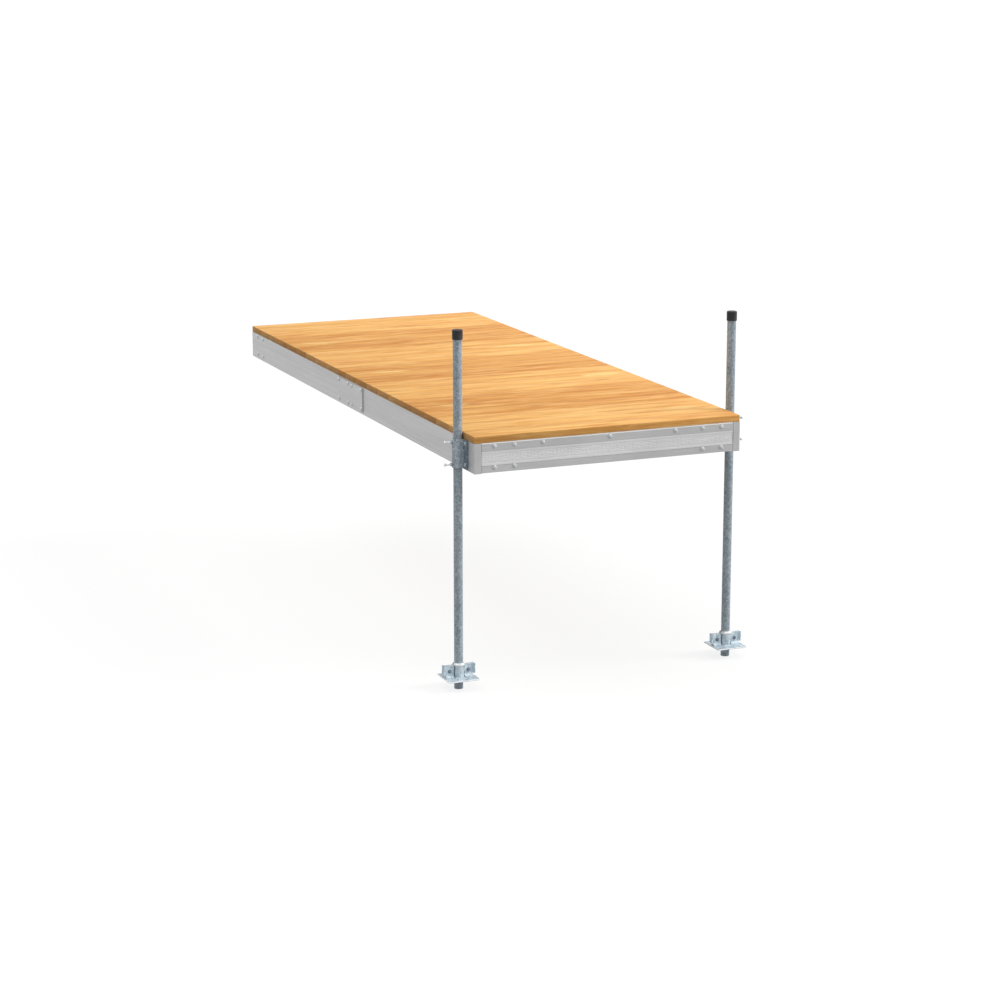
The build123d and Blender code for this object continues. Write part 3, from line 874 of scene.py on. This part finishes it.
def foot_half(side_name, side, half, facing):
    """Half of a foot: a base plate, a wall bent round the pipe, coves between them and a bead on the sleeve."""
    node = f"{side_name}_foot_{half}_half"
    low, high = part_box(node)
    axis_x = side * leg_offset

    def placed(points):
        return [Vector((axis_x + point.x, leg_y + facing * point.y)) for point in points]

    def edges(point):
        is_lip = abs(point.x - axis_x) > foot_lip_start
        return low.z + is_lip * (foot_plate + foot_lip_relief), high.z

    outline = placed(foot_outline(leg_y - low.y if facing < 0 else high.y - leg_y))
    if facing < 0:
        outline.reverse()
    shape = Shape()
    shape.plate(outline, low.z, low.z + foot_plate, foot_plate_easing, foot_rim, foot_dish)
    rim_end = foot_rim_levels * len(outline)
    plate_end = len(shape.faces)
    shape.sheet(placed(foot_wall_path()), foot_wall, edges)

    base = low.z + foot_plate - foot_dish
    section = [Vector((foot_face - sliver, base - sliver)), Vector((foot_face - sliver, base + foot_cove))]
    section += arc((foot_face + foot_cove, base + foot_cove), foot_cove, 180, 270, bend_steps)
    section.append(Vector((foot_face + foot_cove, base - sliver)))
    for way in (-1, 1):
        reach_x = (axis_x + way * foot_bend_x, axis_x + way * foot_ear_end)
        shape.loops([[(x, leg_y + facing * point.x, point.y) for point in section] for x in reach_x])

    bead_start = len(shape.faces)
    bead = [Vector((foot_clamp, high.z - foot_bead / 2))]
    bead += arc((foot_clamp, high.z), foot_bead, foot_bead_start, 90, bend_steps)
    rings = []
    for arm in arc((0.0, 0.0), 1.0, foot_meet, 180 - foot_meet, foot_bead_turns):
        rings.append([(axis_x + point.x * arm.x, leg_y + point.x * facing * arm.y, point.y) for point in bead])
    shape.loops(rings)

    finishes = [foot_zinc, fold_shade_zinc, highlight_zinc, clamp_zinc]
    made = piece(f"{side_name}_pressed_foot_{half}", shape, f"{side_name}_leg", finishes, [node])
    for number, face in enumerate(made.data.polygons):
        off_axis = abs(face.center.x - axis_x)
        # Upward faces at the top of the wall, which take the painted highlight.
        is_top_highlight = face.normal.z > foot_edge_slope and face.center.z > high.z - foot_wall
        # Faces in the bends above the coves, which take the painted shade of the folds.
        in_fold_shade = abs(off_axis - foot_bend_x) < foot_bend and face.center.z > base + foot_cove / 2
        finish = foot_zinc
        # The plate's outer edge and rim, and the bead, take the painted highlight too.
        if number < rim_end or number >= bead_start:
            finish = highlight_zinc
        elif number >= plate_end:
            if is_top_highlight:
                finish = highlight_zinc
            elif in_fold_shade:
                finish = fold_shade_zinc
            elif off_axis < foot_bend_x:
                finish = clamp_zinc
        face.material_index = finishes.index(finish)


for side_name, side in sides.items():
    leg_holder(side_name, side)
    set_screws(side_name, side)
    leg_cap(side_name)
    foot_half(side_name, side, "near", -1)
    foot_half(side_name, side, "far", 1)
    bolt_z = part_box(f"{side_name}_foot_far_half")[0].z + foot_bolt_rise
    bolt_steps = (-foot_bolt_spread / 2, foot_bolt_spread / 2)
    places = [(side * leg_offset + step, leg_y + foot_face, bolt_z) for step in bolt_steps]
    bolts(f"{side_name}_foot_bolts", places, (0, 1, 0), foot_parting + 2 * foot_wall, f"{side_name}_leg",
          size=foot_bolt_size, material=dull_steel)


# Materials of the nodes that stay as the part has them

def node_material(name):
    """The finish of a node, from its name."""
    if "side_rail" in name or "splice" in name or "stringer" in name:
        return side_metal
    if name.endswith("end_rail") or name == "cross_beam" or "corner_angle" in name:
        return end_metal
    if "end_cap" in name:
        return upright_metal
    return leg_zinc


for name, node in nodes.items():
    node.data.materials.clear()
    node.data.materials.append(node_material(name))


# Stage: a pale floor under the feet, soft light from above and from the right, and a white surround

floor_size = 400.0
floor_white = 0.2
floor_fill = 0.13
floor_glow = 0.82
sky_level = 0.32
key_direction, key_spread, key_level = (0.80, -0.33, 0.50), 28.0, 0.60
overhead_direction, overhead_spread, overhead_level = (-0.15, 0.10, 1.0), 80.0, 0.48
camera_lens = 92.585
camera_sensor = 36.0
camera_place = (-4.4493, -12.5624, 2.2736)
camera_tilt = 13.147
camera_turn = 22.561


def background_rays(tree):
    """One where the ray comes from the camera, a reflection or a transmission."""
    rays = tree.nodes.new("ShaderNodeLightPath")
    result = rays.outputs["Is Camera Ray"]
    for kind in ("Is Glossy Ray", "Is Transmission Ray"):
        largest = tree.nodes.new("ShaderNodeMath")
        largest.operation = "MAXIMUM"
        tree.links.new(result, largest.inputs[0])
        tree.links.new(rays.outputs[kind], largest.inputs[1])
        result = largest.outputs[0]
    return result


def background_level(tree, low, high):
    """A strength that is high for those rays and low for the light that falls on the object."""
    level = tree.nodes.new("ShaderNodeMapRange")
    level.inputs["To Min"].default_value = low
    level.inputs["To Max"].default_value = high
    tree.links.new(background_rays(tree), level.inputs["Value"])
    return level.outputs["Result"]


half = floor_size / 2
floor_mesh = bpy.data.meshes.new("floor")
floor_corners = ((-half, -half), (half, -half), (half, half), (-half, half))
floor_mesh.from_pydata([(x, y, leg_low.z) for x, y in floor_corners], [], [(0, 1, 2, 3)])
floor = bpy.data.objects.new("floor", floor_mesh)
bpy.context.scene.collection.objects.link(floor)
floor_material = bpy.data.materials.new("floor")
floor_material.use_nodes = True
tree = floor_material.node_tree
tree.nodes.remove(tree.nodes["Principled BSDF"])
diffuse = tree.nodes.new("ShaderNodeBsdfDiffuse")
diffuse.inputs["Color"].default_value = (floor_white, floor_white, floor_white, 1.0)
glow = tree.nodes.new("ShaderNodeEmission")
tree.links.new(background_level(tree, floor_fill, floor_glow), glow.inputs["Strength"])
both = tree.nodes.new("ShaderNodeAddShader")
tree.links.new(diffuse.outputs[0], both.inputs[0])
tree.links.new(glow.outputs[0], both.inputs[1])
tree.links.new(both.outputs[0], tree.nodes["Material Output"].inputs["Surface"])
floor_mesh.materials.append(floor_material)

world = bpy.data.worlds.new("studio")
bpy.context.scene.world = world
world.use_nodes = True
tree = world.node_tree
background = tree.nodes["Background"]
background.inputs["Color"].default_value = (1.0, 1.0, 1.0, 1.0)
tree.links.new(background_level(tree, sky_level, 1.0), background.inputs["Strength"])


def lamp(name, direction, spread, level):
    """Soft parallel light from a direction, which shows a white face turned to it at a level."""
    data = bpy.data.lights.new(name, "SUN")
    data.angle = math.radians(spread)
    data.energy = level * math.pi
    made = bpy.data.objects.new(name, data)
    made.rotation_euler = Vector(direction).to_track_quat("Z", "Y").to_euler()
    bpy.context.scene.collection.objects.link(made)


lamp("key", key_direction, key_spread, key_level)
lamp("overhead", overhead_direction, overhead_spread, overhead_level)

camera_data = bpy.data.cameras.new("camera")
camera_data.lens = camera_lens
camera_data.sensor_width = camera_sensor
camera_data.clip_end = floor_size
camera = bpy.data.objects.new("camera", camera_data)
camera.location = camera_place
camera.rotation_euler = (math.radians(90 - camera_tilt), 0.0, math.radians(-camera_turn))
bpy.context.scene.collection.objects.link(camera)
bpy.context.scene.camera = camera
bpy.context.scene.view_settings.view_transform = "Standard"
